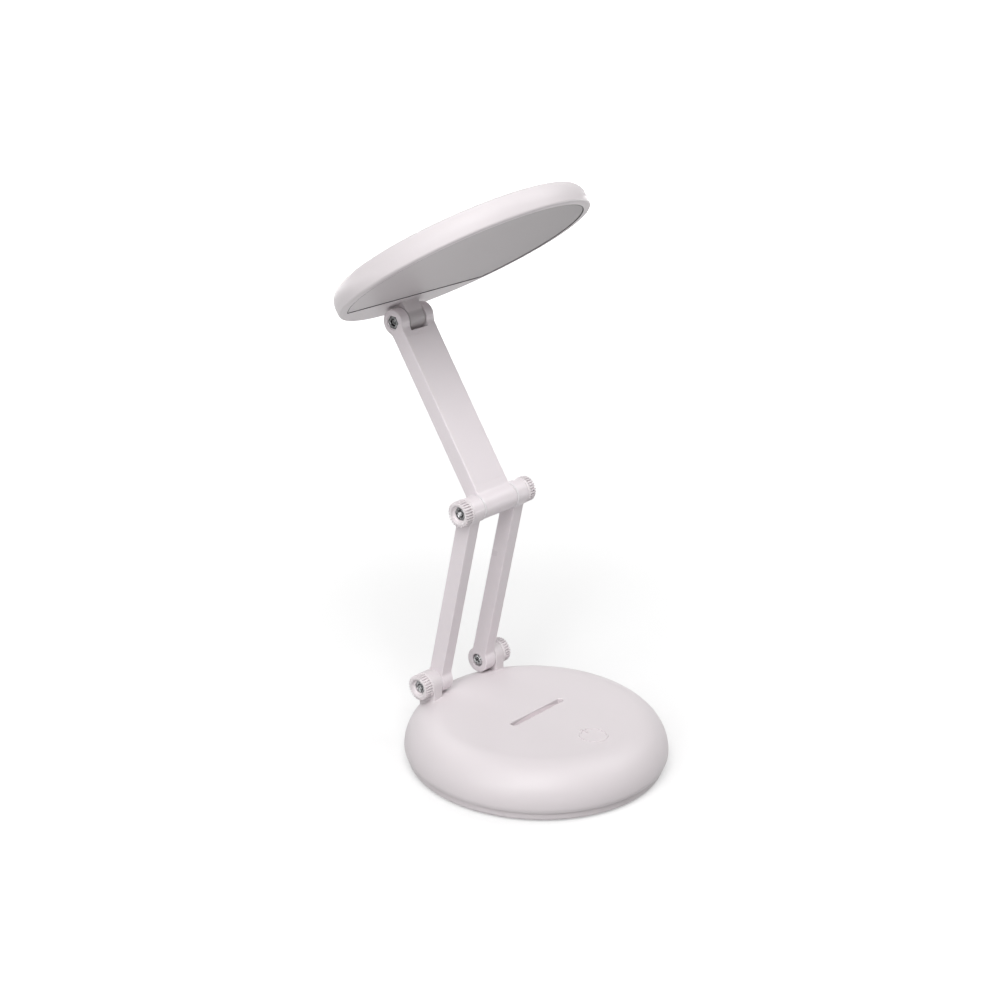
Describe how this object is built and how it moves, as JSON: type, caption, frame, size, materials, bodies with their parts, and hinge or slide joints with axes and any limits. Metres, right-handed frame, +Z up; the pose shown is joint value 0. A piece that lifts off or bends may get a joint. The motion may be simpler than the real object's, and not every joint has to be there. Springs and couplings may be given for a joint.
{
  "type": "folding led desk lamp",
  "caption": "Folding desk lamp with a round weighted base, two lower arms, a wide upper arm, thumb-knob hinges and a round tilting light head.",
  "frame": {"origin": "centre of the base's underside, on the table", "axes": "+Z up, X along every hinge axis, the touch key in front towards -Y"},
  "size_m": [0.12, 0.1604, 0.2631],
  "materials": {
    "shell_white": "fine satin moulding",
    "arm_white": "fine satin moulding",
    "knob_white": "satin moulding with grip ridges",
    "diffuser_grey": "frosted, unlit",
    "hinge_steel": "zinc-plated steel",
    "washer_nylon": "turned nylon",
    "pad_rubber": "matt foam rubber",
    "ballast_steel": "bare sheared steel",
    "cell_wrap": "shrink-wrapped cell",
    "board_green": "solder mask",
    "board_white": "white solder mask",
    "chip_yellow": "phosphor under clear silicone",
    "sheet_white": "diffuse white film",
    "electrode_copper": "bare copper",
    "lead_white": "insulated lead"
  },
  "bodies": {
    "base": {"base_housing": "shell_white", "base_plate": "shell_white", "anti_slip_pad": "pad_rubber", "plate_screws": "hinge_steel", "ballast_block": "ballast_steel", "battery_cell": "cell_wrap", "control_board": "board_green", "board_screws": "hinge_steel", "charging_socket": "hinge_steel", "touch_electrode": "electrode_copper", "lead_base": "lead_white"},
    "lower_arms": {"lower_arm_left": "arm_white", "lower_arm_right": "arm_white", "base_hinge_screws": "hinge_steel", "base_hinge_washers": "washer_nylon", "lead_lower_arm": "lead_white"},
    "upper_arm": {"upper_arm": "arm_white", "upper_arm_cover": "arm_white", "head_hinge_screw": "hinge_steel", "head_hinge_nut": "hinge_steel", "lead_upper_arm": "lead_white", "mid_hinge_washers": "washer_nylon"},
    "head": {"head_housing": "shell_white", "diffuser": "diffuser_grey", "reflector_sheet": "sheet_white", "led_board": "board_white", "led_chips": "chip_yellow", "led_board_screws": "hinge_steel", "lead_head": "lead_white"},
    "knob_base_left": {"base_knob_left": "knob_white", "base_nut_left": "hinge_steel"},
    "knob_base_right": {"base_knob_right": "knob_white", "base_nut_right": "hinge_steel"},
    "knob_mid_left": {"mid_knob_left": "knob_white", "mid_nut": "hinge_steel"},
    "knob_mid_right": {"mid_knob_right": "knob_white", "mid_hinge_bolt": "hinge_steel"}
  },
  "joints": [
    {"name": "base_hinge", "type": "hinge", "parent": "base", "child": "lower_arms", "pos_m": [0, 0.047, 0.0291], "axis": [1, 0, 0], "range_deg": [-30, 76]},
    {"name": "elbow_hinge", "type": "hinge", "parent": "lower_arms", "child": "upper_arm", "pos_m": [0, 0.02936, 0.11736], "axis": [-1, 0, 0], "range_deg": [-46.6, 117]},
    {"name": "head_hinge", "type": "hinge", "parent": "upper_arm", "child": "head", "pos_m": [0, 0.08137, 0.19081], "axis": [1, 0, 0], "range_deg": [-90, 89]},
    {"name": "base_knob_left_turn", "type": "hinge", "parent": "base", "child": "knob_base_left", "pos_m": [-0.0265, 0.047, 0.0291], "axis": [-1, 0, 0], "range_deg": [0, 270]},
    {"name": "base_knob_right_turn", "type": "hinge", "parent": "base", "child": "knob_base_right", "pos_m": [0.0265, 0.047, 0.0291], "axis": [1, 0, 0], "range_deg": [0, 270]},
    {"name": "mid_knob_left_turn", "type": "hinge", "parent": "lower_arms", "child": "knob_mid_left", "pos_m": [-0.0206, 0.02936, 0.11736], "axis": [-1, 0, 0], "range_deg": [0, 270]},
    {"name": "mid_knob_right_turn", "type": "hinge", "parent": "lower_arms", "child": "knob_mid_right", "pos_m": [0.0206, 0.02936, 0.11736], "axis": [1, 0, 0], "range_deg": [0, 270]}
  ]
}
